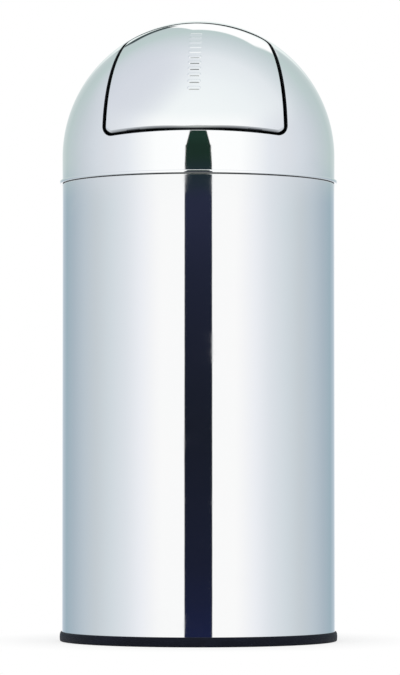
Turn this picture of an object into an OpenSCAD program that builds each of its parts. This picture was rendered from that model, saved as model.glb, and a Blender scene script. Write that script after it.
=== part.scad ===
// Dome-top waste bin with a push flap, a lift-off dome and a lift-out bucket.
// The origin is on the floor at the middle of the bin, +Z is up and the flap faces -Y.

/* [Overall] */
// Height from the floor to the top of the dome
overall_h = 750; // [720:5:900]
// Outside diameter of the steel body and of the dome above it
body_d = 330; // [324:1:345]
// Thickness of the sheet steel of the body, the dome and the flap
sheet_t = 1; // [0.8:0.1:1.3]

/* [Body] */
// Diameter of the roll along the body's top edge
rim_roll_d = 4.4; // [4:0.2:6]
// Height of the top of the floor pan above the ground
floor_h = 13; // [11:1:30]
// Height of the floor pan's upturned edge
floor_lip_h = 14; // [8:1:25]
// Height of the two rings pressed into the floor pan
floor_bead_h = 2.5; // [1:0.5:4]
// Middle radius of the inner pressed ring
floor_bead_inner_r = 55; // [35:1:70]
// Middle radius of the outer pressed ring
floor_bead_outer_r = 105; // [90:1:115]
// Width of each pressed ring at its foot
floor_bead_w = 16; // [12:1:20]
// Width of each pressed ring's flat top
floor_bead_top_w = 8; // [5:1:10]
// Gap that lets the floor pan slip into the body before it is welded
floor_gap = 0.1; // [0.05:0.05:0.3]

/* [Base ring] */
// Height of the rubber ring outside the body
base_ring_h = 11.5; // [9:0.5:16]
// How far the rubber ring stands out from the body
base_ring_out = 2.6; // [2.4:0.2:5]
// Thickness of the rubber under the body's edge
base_ring_sole = 3; // [2:0.5:5]
// Thickness of the ring's leg inside the body
base_ring_leg = 4; // [3:0.5:8]
// Gap between the rubber and the steel it grips
base_ring_gap = 0.05; // [0.02:0.01:0.1]

/* [Dome] */
// Height of the straight skirt under the ball of the dome
skirt_h = 33; // [28:1:45]
// Diameter of the roll along the dome's bottom edge
bead_d = 3.6; // [3.2:0.1:5]
// Gap left between the dome and the body's rim where one rests on the other
rest_gap = 0.3; // [0.1:0.05:0.6]
// Height of the locating ring's leg inside the skirt
ring_leg_h = 16; // [8:1:22]
// Depth to which the locating ring reaches into the body
ring_reach = 20; // [10:1:30]
// Clearance between the locating ring and the body's rolled rim
ring_clear = 0.7; // [0.4:0.1:2]
// Gap between two parts that are spot-welded to each other
weld_gap = 0.05; // [0.02:0.01:0.1]

/* [Mouth] */
// Elevation of the mouth's bottom edge, which lies in a sloping plane through the middle of the ball
mouth_rake = 6.3; // [4:0.1:9]
// Distance of the middle of the mouth's top edge in front of the middle of the ball
mouth_top_y = 43; // [40:0.5:48]
// Width between the mouth's sides, carried back to the middle of the ball
mouth_mid_w = 141; // [136:1:142]
// Angle at which each side of the mouth widens towards the front
mouth_flare = 17; // [15:0.2:18]
// Height above the middle of the ball from which the mouth's raked sides go on upright
mouth_upright_h = 126; // [115:1:130]
// Radius of the mouth's two bottom corners
mouth_corner_r = 13; // [8:0.5:18]
// Radius of the mouth's two top corners
mouth_top_r = 12; // [8:0.5:16]
// Depth of the edge turned in along the mouth's sides and top
mouth_edge = 5; // [3:0.5:6]
// Depth of the lip turned in and down along the mouth's bottom edge
mouth_lip = 4.2; // [3:0.2:5]

/* [Flap] */
// Gap between the flap and each side of the mouth
flap_gap = 3; // [2.5:0.1:4]
// Gap between the flap and the mouth's bottom edge
sill_gap = 2.2; // [2:0.1:3]
// Gap between the flap and the mouth's top edge
top_gap = 5; // [3:0.5:6]
// Depth of the edge turned in round the flap
flap_edge = 8; // [6:0.5:10]
// Angle at which the flap stands when it is pushed right in
flap_open = 65; // [50:1:70]
// Number of raised bars down the middle of the flap
bar_count = 11; // [4:1:11]
// Width of each raised bar
bar_w = 15; // [8:0.5:24]
// Height of each raised bar
bar_h = 4.4; // [2:0.2:6]
// How far each bar stands out from the flap
bar_out = 0.7; // [0.4:0.1:1.2]
// Elevation of the lowest bar, seen from the middle of the ball
bar_low = 24.5; // [20:0.5:28]
// Angle from one bar to the next
bar_step = 3.3; // [2.8:0.1:3.4]

/* [Hinge] */
// Distance of the rod in front of the middle of the ball
hinge_y = 28; // [24:1:32]
// Depth of the rod's axis under the dome, beside the hinge brackets
hinge_drop = 22.5; // [20:0.5:28]
// Diameter of the rod
rod_d = 6; // [5:0.5:8]
// Length by which the rod stands out of each hinge bracket
rod_end = 6; // [4:0.5:8]
// Thickness of the plate of the brackets and arms
plate_t = 2; // [1.5:0.1:2.5]
// Distance of each hinge bracket's inner face from the middle
hinge_bracket_x = 71; // [69:0.5:74]
// Distance of each flap arm's inner face from the middle
flap_bracket_x = 58; // [55:0.5:59]
// Radius of the eye at the end of each bracket and arm
eye_r = 8; // [7.5:0.5:9]
// Distance of the hinge brackets' back edge in front of the middle of the ball
hinge_foot_back = 6; // [0:1:10]
// Gap between the hinge brackets' front edge and the edge turned in at the mouth's top corners
hinge_foot_gap = 2.5; // [2:0.5:5]
// Angle below straight back at which the hinge bracket's edge leaves its eye
hinge_flank = 50; // [35:5:60]
// Angle below straight ahead at which the arm's lower edge leaves its eye
arm_edge_angle = 18.5; // [17.5:0.5:20]
// Length of the arm's lower edge
arm_l = 92.5; // [89:0.5:94]
// Height of the arm above the rod's axis where it reaches its foot
arm_back_h = 12; // [9:1:18]
// Gap between the flap's turned-in top edge and the arm's foot
arm_foot_gap = 9; // [8:0.5:12]
// Length of the arm's foot, seen from above
arm_foot_l = 58; // [50:1:60]
// Thickness of the feet that are welded to the sheet
foot_t = 1.5; // [1:0.1:2]
// Width of each foot beyond its plate
foot_w = 12; // [8:0.5:14]
// Wall thickness of the nylon bush
bush_t = 1.5; // [1.2:0.1:1.8]
// Width of the bush's flange
bush_flange_w = 2; // [1:0.5:2.5]
// Thickness of the bush's flange
bush_flange_t = 1.5; // [1:0.1:2]
// Length by which the bush stands out on the arm's inner side
bush_tail = 4; // [2:0.5:8]
// Radial clearance between the rod and what runs or sits on it
run_gap = 0.05; // [0.02:0.01:0.1]
// Radial gap between a bush and the eye it is pressed into
press_gap = 0.02; // [0.01:0.01:0.05]
// Diameter of the push nut on each end of the rod
clip_d = 13; // [11:0.5:16]
// Thickness of the push nut's sheet
clip_t = 0.8; // [0.6:0.1:1.2]
// Diameter within which the push nut rises to grip the rod
clip_cone_d = 9.5; // [9:0.5:10]
// Height of the push nut's raised middle
clip_rise = 1.6; // [1:0.2:2]

/* [Spring and stops] */
// Diameter of the spring wire
wire_d = 1.5; // [1.2:0.1:1.8]
// Clearance between the rod and the inside of the spring
spring_bore_gap = 1.5; // [0.6:0.1:1.8]
// Number of turns in each spring
spring_turns = 4; // [3:1:4]
// Length of the spring's front leg along the edge of the arm
spring_reach = 24; // [20:1:30]
// Length of the end of that leg, which is bent in under the arm
spring_hook = 8; // [6:1:10]
// Diameter of the peg that stops the open flap
peg_d = 5; // [4:0.5:6]
// Distance of the peg from the rod's axis
peg_reach = 17; // [16:0.5:19]
// Direction of the peg from the rod, upwards from straight back
peg_angle = 35; // [25:1:45]
// Length of the peg past the arm's inner face
peg_tail = 1; // [0:0.5:3]
// Diameter of the peg's head
peg_head_d = 7.5; // [7:0.5:9]
// Thickness of the peg's head
peg_head_t = 1; // [0.8:0.2:2]
// Width of the finger on the arm that meets the peg
finger_w = 5; // [4:0.5:7]
// Gap left wherever two moving parts come to rest on each other
touch_gap = 0.3; // [0.1:0.05:0.5]
// Angle of each closing stop from the front, round the dome
stop_angle = 26; // [18:1:30]
// Width of each closing stop
stop_w = 18; // [14:1:24]
// Thickness of each closing stop's strap
stop_t = 1.5; // [1:0.1:2]
// Depth of the closing stops below the flap's bottom edge
stop_drop = 21; // [18:0.5:24]
// Depth of the closing stops behind the dome
stop_back = 11; // [9:0.5:14]
// Diameter of the rubber stud on each closing stop
stud_d = 10; // [8:0.5:11]

/* [Bucket] */
// Clearance between the bucket's rim and the inside of the body
bucket_gap = 14.5; // [13:0.5:20]
// Radius lost from the bucket's rim to its foot
bucket_foot_inset = 15; // [8:1:25]
// Thickness of the bucket's galvanised sheet
bucket_t = 1; // [0.7:0.1:1.3]
// Diameter of the bucket's rolled rim
bucket_roll_d = 7; // [5:0.5:8]
// Height of the bucket's base above its bottom edge
bucket_recess = 8; // [6:1:14]
// Depth of the edge turned down round the bucket's base
bucket_base_lip = 6; // [4:0.5:6]
// How far each swage stands out from the bucket's wall
swage_out = 1.6; // [0.8:0.2:2.4]
// Height of each swage
swage_h = 12; // [8:1:18]
// Height of each swage's flat middle
swage_flat_h = 4.8; // [3:0.2:7]
// Distance of the upper swage below the rim
swage_top = 90; // [70:5:110]
// Distance of the lower swage above the bucket's foot
swage_low = 60; // [40:5:90]
// Clearance between the folded handle and the flap swinging over it
bucket_headroom = 14; // [10:1:30]

/* [Handle] */
// Diameter of the handle's wire
bail_d = 5; // [4:0.5:6]
// Clearance between the handle's ends and the ears
bail_clear = 0.08; // [0.02:0.01:0.1]
// Diameter of the flattened head on each end of the handle
bail_head_d = 8; // [7:0.5:9]
// Thickness of the flattened head on each end of the handle
bail_head_t = 1.2; // [0.8:0.1:1.6]
// Thickness of the ears
ear_t = 1.8; // [1.5:0.1:2.5]
// Width of each ear where it is riveted
ear_w = 34; // [28:1:44]
// Height of each ear below the rim
ear_drop = 40; // [36:1:55]
// Radius of the ear's top, round the handle's end
ear_top_r = 9; // [7:0.5:11]
// Gap between the ear and the bucket's rolled rim
ear_gap = 0.3; // [0.1:0.1:0.6]
// Distance of the ear's outward step below the bucket's rolled rim
ear_step_gap = 1; // [0:0.5:3]
// Height of the ear's outward step
ear_step_h = 6; // [4:1:8]
// Distance of the rivets below the bucket's rim
rivet_drop = 27; // [25:0.5:29]
// Gap between the rivets' heads and the sheet
rivet_gap = 0.15; // [0.15:0.05:0.3]
// Diameter of the rivets
rivet_d = 4; // [3:0.5:5]
// Distance between the two rivets of one ear
rivet_pitch = 18; // [14:1:22]
// Diameter of the rivet's head
rivet_head_d = 8; // [7:0.5:9]
// Height of the rivet's head
rivet_head_h = 2; // [1.5:0.1:2.5]

/* [Hidden] */
$fn = 144;

// Amount by which a cutter runs past what it cuts
past = 1;
// Radius that is past everything in the bin
far_r = body_d;
// Number of straight steps round each corner of the mouth
corner_steps = 8;
// Length by which the bars that shape the mouth start behind the middle
bar_back = 16.5;
// Number of steps in each turn of a spring, and number of sides of its wire
coil_steps = 20;
wire_sides = 8;
// Outline of the rubber ring's bulge: shares of how far it stands out and of its height
base_ring_bulge = [[0.67, 0], [0.92, 0.2], [1, 0.45], [0.92, 0.7], [0.67, 0.9], [0.33, 1]];
// Angles between which each rolled edge is open, seen in section
rim_open = [300, 345];
bead_open = [120, 160];
bucket_open = [195, 240];

// Body and dome
body_r = body_d / 2;
body_in_r = body_r - sheet_t;
ball_z = overall_h - body_r;
seam_z = ball_z - skirt_h;
rim_roll_r = rim_roll_d / 2;
bead_r = bead_d / 2;
pan_r = body_in_r - floor_gap;
spigot_r = body_r - rim_roll_d - ring_clear;

// Hinge, measured from the middle of the ball
rod_r = rod_d / 2;
hinge_h = sqrt(pow(body_in_r, 2) - pow(hinge_bracket_x, 2) - pow(hinge_y, 2)) - hinge_drop;
rod_half = hinge_bracket_x + plate_t + rod_end;
bush_in_r = rod_r + run_gap;
bush_r = bush_in_r + bush_t;
bush_hole_r = bush_r + press_gap;

// Pegs, stops and springs, measured from the rod's axis
peg_r = peg_d / 2;
peg_y = peg_reach * cos(peg_angle);
peg_z = peg_reach * sin(peg_angle);
finger_angle = peg_angle - flap_open - asin((peg_r + touch_gap) / peg_reach);
wire_r = wire_d / 2;
coil_r = rod_r + spring_bore_gap + wire_r;
coil_x0 = flap_bracket_x + plate_t + bush_flange_t + touch_gap + wire_r;
coil_x1 = hinge_bracket_x - touch_gap - wire_r;

// Closing stops, measured from the plane of the mouth's bottom edge
stop_r = body_in_r - stop_back;
stop_low = sill_gap - stop_drop;

// Gaps round the mouth's own edge and round the flap: at the sides, at the bottom and at the top
mouth_gaps = [0, 0, 0];
flap_gaps = [flap_gap, sill_gap, top_gap];
each_side = [1, 1, 1];

// Half the width between the upright parts of the mouth's sides, and the place behind the ball
// where these would meet
upright_x = mouth_mid_w / 2 + mouth_upright_h * sin(mouth_rake) * tan(mouth_flare);
fan_y = upright_x / tan(mouth_flare);

// Bucket and handle
bail_r = bail_d / 2;
sweep_r = norm([body_in_r * cos(mouth_rake) - stop_low * sin(mouth_rake) - hinge_y,
                hinge_h - body_in_r * sin(mouth_rake) - stop_low * cos(mouth_rake)]);
bail_z = ball_z + hinge_h - sweep_r - bucket_headroom - bail_r;
bucket_rim_z = bail_z - bail_r - touch_gap;
bucket_foot_z = floor_h + touch_gap;
bucket_roll_r = bucket_roll_d / 2;
bucket_rim_r = body_in_r - bucket_gap;
bucket_top_r = bucket_rim_r - bucket_roll_r;
bucket_top_z = bucket_rim_z - bucket_roll_r;
ear_r = bucket_rim_r + ear_gap;
rivet_r = rivet_d / 2;
rivet_z = bucket_rim_z - rivet_drop;
rivet_turn = asin(rivet_pitch / 2 / bucket_top_r);

// Outside radius of the bucket's wall at a height
function bucket_r(z) =
    bucket_top_r - bucket_foot_inset * (bucket_top_z - z) / (bucket_top_z - bucket_foot_z);

// Draws its children on the right (side 1) or mirrored on the left (side -1)
module on_side(side) {
    if (side < 0) mirror([1, 0, 0]) children();
    else children();
}

// Raises its children to the middle of the ball
module at_ball() {
    translate([0, 0, ball_z]) children();
}

// Moves its children from the origin to the rod's axis
module at_hinge() {
    translate([0, -hinge_y, ball_z + hinge_h]) children();
}

// Plate that lies across the X axis, its outline given in Y and Z
module across(x, t) {
    translate([x, 0, 0]) rotate([90, 0, 90]) linear_extrude(t) children();
}

// Rolled edge seen in section: a tube of sheet, open between two angles
module roll(r, t, open) {
    middle = (open[0] + open[1]) / 2;
    difference() {
        circle(r);
        circle(r - t);
        polygon([[0, 0], for (a = [open[0], middle, open[1]]) 2 * r * [cos(a), sin(a)]]);
    }
}

// Ball-shaped sheet between two radii
module ball_sheet(outer_r, inner_r) {
    difference() {
        sphere(outer_r);
        sphere(inner_r);
    }
}

// Points along an arc, in short straight steps
function arc(centre, r, from_angle, to_angle) = [
    for (i = [0:corner_steps])
        let (a = from_angle + (to_angle - from_angle) * i / corner_steps)
        centre + r * [cos(a), sin(a)]
];

// Tilts its children with the plane of the mouth's bottom edge
module raked() {
    rotate([-mouth_rake, 0, 0]) children();
}

// Angle, seen from where the mouth's sides would meet, and middle of the mouth's right top corner
function top_corner_angle(gaps) =
    mouth_flare - asin(mouth_top_r / (fan_y + mouth_top_y + gaps[2] + mouth_top_r - gaps[0]));

function top_corner(gaps) =
    let (a = top_corner_angle(gaps), r = fan_y + mouth_top_y + gaps[2] + mouth_top_r - gaps[0])
    [r * sin(a), fan_y - r * cos(a)];

// Outline of the mouth's top edge and sides from above: the edge is an arc square to both sides
module mouth_plan(gaps) {
    corner_r = mouth_top_r - gaps[0];
    edge_r = fan_y + mouth_top_y + gaps[2];
    corner_angle = top_corner_angle(gaps);
    corner = top_corner(gaps);
    side_x = upright_x - gaps[0] / cos(mouth_flare);
    front_x = side_x + far_r * tan(mouth_flare);
    polygon(concat(
        [[-front_x, -far_r], [front_x, -far_r]],
        arc(corner, corner_r, mouth_flare, 90 + corner_angle),
        arc([0, fan_y], edge_r, corner_angle - 90, -corner_angle - 90),
        arc([-corner.x, corner.y], corner_r, 90 - corner_angle, 180 - mouth_flare)
    ));
}

// Bar that runs along one side of the mouth, with the mouth's bottom corner rounded
module mouth_bar(gaps) {
    corner_r = mouth_corner_r - gaps[0];
    side_x = mouth_mid_w / 2 - gaps[0] / cos(mouth_flare);
    translate([side_x, 0, gaps[1]]) rotate([90, 0, mouth_flare])
        translate([0, 0, -bar_back]) linear_extrude(far_r) polygon(concat(
            [[-2 * far_r, 0]], arc([-corner_r, corner_r], corner_r, -90, 0),
            [[0, far_r], [-2 * far_r, far_r]]
        ));
}

// Solid that the mouth cuts out of the ball, drawn smaller by the gaps
module mouth(gaps) {
    intersection() {
        raked() mouth_bar(gaps);
        raked() mirror([1, 0, 0]) mouth_bar(gaps);
        linear_extrude(far_r) mouth_plan(gaps);
    }
}

// Steel body: a tube with its top edge rolled inwards
module outer_body() {
    color("gainsboro") rotate_extrude() {
        translate([body_in_r, base_ring_sole])
            square([sheet_t, seam_z - rim_roll_r - base_ring_sole]);
        translate([body_r - rim_roll_r, seam_z - rim_roll_r]) roll(rim_roll_r, sheet_t, rim_open);
    }
}

// Points of the floor pan's upper face, from the middle out, with its two pressed rings
function pan_points(lower) = [
    [0, floor_h - lower],
    for (r = [floor_bead_inner_r, floor_bead_outer_r]) each [
        [r - floor_bead_w / 2, floor_h - lower],
        [r - floor_bead_top_w / 2, floor_h - lower + floor_bead_h],
        [r + floor_bead_top_w / 2, floor_h - lower + floor_bead_h],
        [r + floor_bead_w / 2, floor_h - lower]
    ]
];

function reversed(points) = [for (i = [len(points) - 1:-1:0]) points[i]];

// Floor pan: pressed steel welded inside the foot of the body
module body_floor() {
    color("silver") rotate_extrude() polygon(concat(
        pan_points(0),
        [[pan_r - sheet_t, floor_h], [pan_r - sheet_t, floor_h + floor_lip_h],
         [pan_r, floor_h + floor_lip_h], [pan_r, floor_h - sheet_t]],
        reversed(pan_points(sheet_t))
    ));
}

// Rubber ring round the foot of the body, with a groove for the body's edge
module base_ring() {
    groove_r = body_r + base_ring_gap;
    leg_r = body_in_r - base_ring_gap;
    leg_z = floor_h - sheet_t - base_ring_gap;
    color("#20222a") rotate_extrude() polygon(concat(
        [[leg_r - base_ring_leg, 0]],
        [for (p = base_ring_bulge) [body_r + base_ring_out * p.x, base_ring_h * p.y]],
        [[groove_r, base_ring_h], [groove_r, base_ring_sole], [leg_r, base_ring_sole],
         [leg_r, leg_z], [leg_r - base_ring_leg, leg_z]]
    ));
}

// Section of the dome: quarter of the ball, the skirt and the rolled bead
module dome_section() {
    skirt_foot = seam_z + rest_gap + bead_r;
    translate([0, ball_z]) intersection() {
        difference() {
            circle(body_r);
            circle(body_in_r);
        }
        square(body_r + past);
    }
    translate([body_in_r, skirt_foot]) square([sheet_t, ball_z - skirt_foot]);
    translate([body_r - sheet_t / 2 + bead_r, skirt_foot]) roll(bead_r, sheet_t, bead_open);
}

// Edge turned in along the sides and the top of the mouth, down to the bottom corners
module mouth_rim() {
    intersection() {
        ball_sheet(body_r - sheet_t / 2, body_r - mouth_edge);
        difference() {
            mouth(mouth_gaps - sheet_t * each_side);
            mouth(mouth_gaps);
        }
        raked() translate([-far_r, -far_r, mouth_corner_r + past]) cube(2 * far_r);
    }
}

// Lip turned in and down along the straight part of the mouth's bottom edge
module mouth_sill_lip() {
    reach = mouth_lip / sqrt(2);
    half_w = mouth_mid_w / 2 + body_r * sin(mouth_flare) - mouth_corner_r - sheet_t;
    raked() intersection() {
        rotate_extrude() polygon([
            [body_in_r + sheet_t / 2, 0], [body_in_r - reach, -reach],
            [body_in_r - reach, -reach - sheet_t * sqrt(2)],
            [body_in_r + sheet_t / 2, -sheet_t * sqrt(2)]
        ]);
        translate([-half_w, -far_r, -far_r]) cube([2 * half_w, far_r, far_r]);
    }
}

// Dome: spun steel ball cap with a skirt, a bead and the mouth
module dome_shell() {
    color("gainsboro") {
        difference() {
            rotate_extrude() dome_section();
            at_ball() mouth(mouth_gaps);
        }
        at_ball() mouth_rim();
        at_ball() mouth_sill_lip();
    }
}

// Ring welded inside the skirt; it rests on the body's rim and centres the dome
module locating_ring() {
    leg_r = body_in_r - weld_gap;
    rest_z = seam_z + rest_gap;
    color("silver") rotate_extrude() polygon([
        [leg_r, rest_z], [leg_r, rest_z + ring_leg_h], [leg_r - sheet_t, rest_z + ring_leg_h],
        [leg_r - sheet_t, rest_z + sheet_t], [spigot_r - sheet_t, rest_z + sheet_t],
        [spigot_r - sheet_t, seam_z - ring_reach], [spigot_r, seam_z - ring_reach + sheet_t],
        [spigot_r, rest_z]
    ]);
}

// Foot that follows the inside of the ball at a given radius, cut to a box
module ball_foot(r, corner, size) {
    intersection() {
        ball_sheet(r, r - foot_t);
        translate(corner) cube(size);
    }
}

// Hinge bracket under the dome: a plate with an eye for the rod and a welded foot
module hinge_bracket(side) {
    foot_r = body_in_r - weld_gap;
    back = hinge_y - hinge_foot_back;
    front = hinge_y + top_corner(mouth_gaps).y + mouth_top_r + sheet_t + hinge_foot_gap;
    color("darkgray") on_side(side) difference() {
        at_ball() union() {
            intersection() {
                sphere(foot_r);
                translate([0, -hinge_y, hinge_h]) across(hinge_bracket_x, plate_t) {
                    circle(eye_r);
                    polygon([[-eye_r, 0], [front, eye_r], [front, far_r], [back, far_r],
                             [back, eye_r], eye_r * [cos(hinge_flank), -sin(hinge_flank)]]);
                }
            }
            ball_foot(foot_r, [hinge_bracket_x, front - hinge_y, 0], [foot_w + plate_t, back - front, far_r]);
        }
        at_hinge() across(hinge_bracket_x - past, plate_t + 2 * past) {
            circle(rod_r + run_gap);
            translate([peg_y, peg_z]) circle(peg_r + press_gap);
        }
    }
}

// Rod that the flap turns on
module hinge_rod() {
    color("lightgray") at_hinge() across(-rod_half, 2 * rod_half) circle(rod_r);
}

// Push nut on each end of the rod
module rod_clips() {
    color("dimgray") for (side = [-1, 1]) on_side(side) at_hinge()
        translate([hinge_bracket_x + plate_t + weld_gap, 0, 0]) rotate([0, 90, 0]) rotate_extrude() polygon([
            [rod_r + press_gap, clip_rise], [clip_cone_d / 2, 0], [clip_d / 2, 0],
            [clip_d / 2, clip_t], [clip_cone_d / 2, clip_t], [rod_r + press_gap, clip_rise + clip_t]
        ]);
}

// Peg riveted into each hinge bracket
module stop_pins() {
    tip_x = flap_bracket_x - peg_tail;
    head_x = hinge_bracket_x + plate_t + weld_gap;
    color("lightgray") for (side = [-1, 1]) on_side(side) at_hinge() translate([0, peg_y, peg_z]) {
        across(tip_x, head_x - tip_x + peg_head_t / 2) circle(peg_r);
        across(head_x, peg_head_t) circle(d = peg_head_d);
    }
}

// Point on the arm's lower edge, a distance along it from the eye, and a distance outside it
function arm_edge(along, outside) =
    let (a = arm_edge_angle, r = eye_r + outside)
    [-along * cos(a) + r * sin(a), -along * sin(a) - r * cos(a)];

// Route of the spring's wire: end bent in under the arm, front leg, coil, back leg
spring_tip = arm_edge(spring_reach, wire_r + touch_gap);
spring_bend = arm_edge(spring_reach - spring_hook, wire_r + touch_gap);
coil_start = atan2(spring_bend.y, spring_bend.x) + acos(coil_r / norm(spring_bend));
back_leg_angle = peg_angle + asin((coil_r - peg_r - wire_r - touch_gap) / peg_reach);
coil_turn = 360 * spring_turns + back_leg_angle - 90 - coil_start;
coil_rings = coil_steps * spring_turns;

function coil_point(i) =
    let (a = coil_start + coil_turn * i / coil_rings)
    [coil_x0 + (coil_x1 - coil_x0) * i / coil_rings, coil_r * cos(a), coil_r * sin(a)];

spring_route = concat(
    [[flap_bracket_x, spring_tip.x, spring_tip.y], [coil_x0, spring_bend.x, spring_bend.y]],
    [for (i = [0:coil_rings]) coil_point(i)],
    [coil_point(coil_rings) + (peg_reach + peg_r) * [0, cos(back_leg_angle), sin(back_leg_angle)]]
);

function unit(v) = v / norm(v);

// Ring of points round one point of a route, square to it
function wire_ring(route, i) =
    let (
        along = unit(route[min(i + 1, len(route) - 1)] - route[max(i - 1, 0)]),
        over = unit([1, 0, 0] - along.x * along),
        out = cross(along, over)
    )
    [for (k = [0:wire_sides - 1])
        route[i] + wire_r * (cos(360 * k / wire_sides) * over + sin(360 * k / wire_sides) * out)];

// Wire of eight sides swept along a route
module wire(route) {
    last = len(route) - 1;
    polyhedron(
        points = [for (i = [0:last]) each wire_ring(route, i)],
        faces = concat(
            [[for (k = [0:wire_sides - 1]) k]],
            [for (i = [0:last - 1], k = [0:wire_sides - 1])
                let (a = i * wire_sides + k, b = i * wire_sides + (k + 1) % wire_sides)
                [b, a, a + wire_sides, b + wire_sides]],
            [[for (k = [wire_sides - 1:-1:0]) last * wire_sides + k]]
        )
    );
}

// Torsion spring that closes the flap
module spring(side) {
    color("slategray") on_side(side) at_hinge() wire(spring_route);
}

// Raised bars down the middle of the flap, each a slot shape standing out of the ball
module flap_bars() {
    intersection() {
        sphere(body_r + bar_out);
        for (i = [0:bar_count - 1])
            rotate([90 - bar_low - bar_step * i, 0, 0])
                translate([0, 0, body_r - sheet_t / 2]) linear_extrude(2 * bar_out + sheet_t) {
                    square([bar_w - bar_h, bar_h], center = true);
                    for (side = [-1, 1]) translate([side * (bar_w - bar_h) / 2, 0]) circle(bar_h / 2);
                }
    }
}

// Flap: a piece of the dome's own ball with its edges turned in
module flap_panel() {
    color("gainsboro") at_ball() {
        difference() {
            intersection() {
                ball_sheet(body_r, body_r - flap_edge - sheet_t);
                mouth(flap_gaps);
            }
            intersection() {
                sphere(body_in_r);
                mouth(flap_gaps + sheet_t * each_side);
            }
        }
        flap_bars();
    }
}

// Arm inside the flap: a plate with an eye for the bush, a finger for the peg and a welded foot
module flap_bracket(side) {
    foot_r = body_in_r - weld_gap;
    foot_top = -mouth_top_y - top_gap - sheet_t - arm_foot_gap;
    foot_low = foot_top - arm_foot_l;
    color("darkgray") on_side(side) difference() {
        union() {
            at_ball() intersection() {
                sphere(foot_r);
                translate([0, -hinge_y, hinge_h]) across(flap_bracket_x, plate_t) {
                    circle(eye_r);
                    polygon([[0, eye_r], [foot_top + hinge_y, arm_back_h], [foot_top + hinge_y, far_r],
                             [foot_low + hinge_y, far_r], arm_edge(arm_l, 0), arm_edge(0, 0)]);
                    rotate(finger_angle) translate([0, -finger_w])
                        square([peg_reach + peg_r, finger_w]);
                }
            }
            at_ball() intersection() {
                ball_foot(foot_r, [flap_bracket_x - foot_w, foot_low, 0],
                          [foot_w + plate_t, foot_top - foot_low, far_r]);
                mouth(flap_gaps + (sheet_t + weld_gap) * each_side);
            }
        }
        at_hinge() across(flap_bracket_x - past, plate_t + 2 * past) circle(bush_hole_r);
    }
}

// Nylon bush pressed into the arm's eye; it runs on the rod
module flap_bush(side) {
    color("ivory") on_side(side) at_hinge() difference() {
        union() {
            across(flap_bracket_x - bush_tail, bush_tail + plate_t + past) circle(bush_r);
            across(flap_bracket_x + plate_t + weld_gap, bush_flange_t) circle(bush_r + bush_flange_w);
        }
        across(flap_bracket_x - bush_tail - past, bush_tail + plate_t + 4 * past) circle(bush_in_r);
    }
}

// Strap under the flap's bottom edge that reaches down behind the dome
module stop_bracket(side) {
    seat_z = sill_gap + sheet_t + weld_gap;
    edge_r = sqrt(pow(body_in_r, 2) - pow(seat_z + stop_t, 2)) - weld_gap;
    color("darkgray") on_side(side) at_ball() raked() rotate([0, 0, stop_angle]) intersection() {
        rotate_extrude() polygon([
            [edge_r, seat_z], [edge_r, seat_z + stop_t], [stop_r - stop_t, seat_z + stop_t],
            [stop_r - stop_t, stop_low], [stop_r, stop_low], [stop_r, seat_z]
        ]);
        translate([-stop_w / 2, -far_r, stop_low]) cube([stop_w, far_r, far_r]);
    }
}

// Rubber stud on the strap; it meets the inside of the dome when the flap closes
module stop_bumper(side) {
    color("#303030") on_side(side) at_ball() raked() rotate([0, 0, stop_angle]) intersection() {
        translate([0, 0, stop_low + stud_d / 2]) rotate([90, 0, 0]) cylinder(d = stud_d, h = far_r);
        difference() {
            sphere(body_in_r - touch_gap);
            cylinder(r = stop_r + weld_gap, h = far_r, center = true);
        }
    }
}

// Outer line of the bucket's wall with its two swages, moved in by a distance
function bucket_line(inwards) = [
    [bucket_r(bucket_foot_z) - inwards, bucket_foot_z],
    for (z = [bucket_foot_z + swage_low, bucket_rim_z - swage_top]) each [
        [bucket_r(z - swage_h / 2) - inwards, z - swage_h / 2],
        [bucket_r(z - swage_flat_h / 2) - inwards + swage_out, z - swage_flat_h / 2],
        [bucket_r(z + swage_flat_h / 2) - inwards + swage_out, z + swage_flat_h / 2],
        [bucket_r(z + swage_h / 2) - inwards, z + swage_h / 2]
    ],
    [bucket_top_r - inwards, bucket_top_z]
];

// One rivet's place: its axis points outwards from the bucket
module at_rivets() {
    for (side = [-1, 1], turn = [-rivet_turn, rivet_turn])
        on_side(side) rotate([0, 0, turn]) translate([0, 0, rivet_z]) rotate([0, 90, 0]) children();
}

// Holes for the rivets through the bucket's wall and the ears
module rivet_holes() {
    at_rivets() translate([0, 0, bucket_top_r - bucket_foot_inset])
        cylinder(r = rivet_r + press_gap, h = far_r);
}

// Bucket's wall: tapered, swaged and rolled over at the rim
module bucket_wall() {
    color("lightslategray") difference() {
        rotate_extrude() {
            polygon(concat(bucket_line(0), reversed(bucket_line(bucket_t))));
            translate([bucket_top_r, bucket_top_z]) roll(bucket_roll_r, bucket_t, bucket_open);
        }
        rivet_holes();
    }
}

// Bucket's base: a pressed disc with its edge turned down, above the bucket's bottom edge
module bucket_base() {
    top_z = bucket_foot_z + bucket_recess;
    low_z = top_z - bucket_base_lip;
    fit = bucket_t + weld_gap;
    color("lightslategray") rotate_extrude() polygon([
        [0, top_z], [bucket_r(top_z) - fit, top_z], [bucket_r(low_z) - fit, low_z],
        [bucket_r(low_z) - fit - bucket_t, low_z],
        [bucket_r(top_z) - fit - bucket_t, top_z - bucket_t], [0, top_z - bucket_t]
    ]);
}

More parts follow.
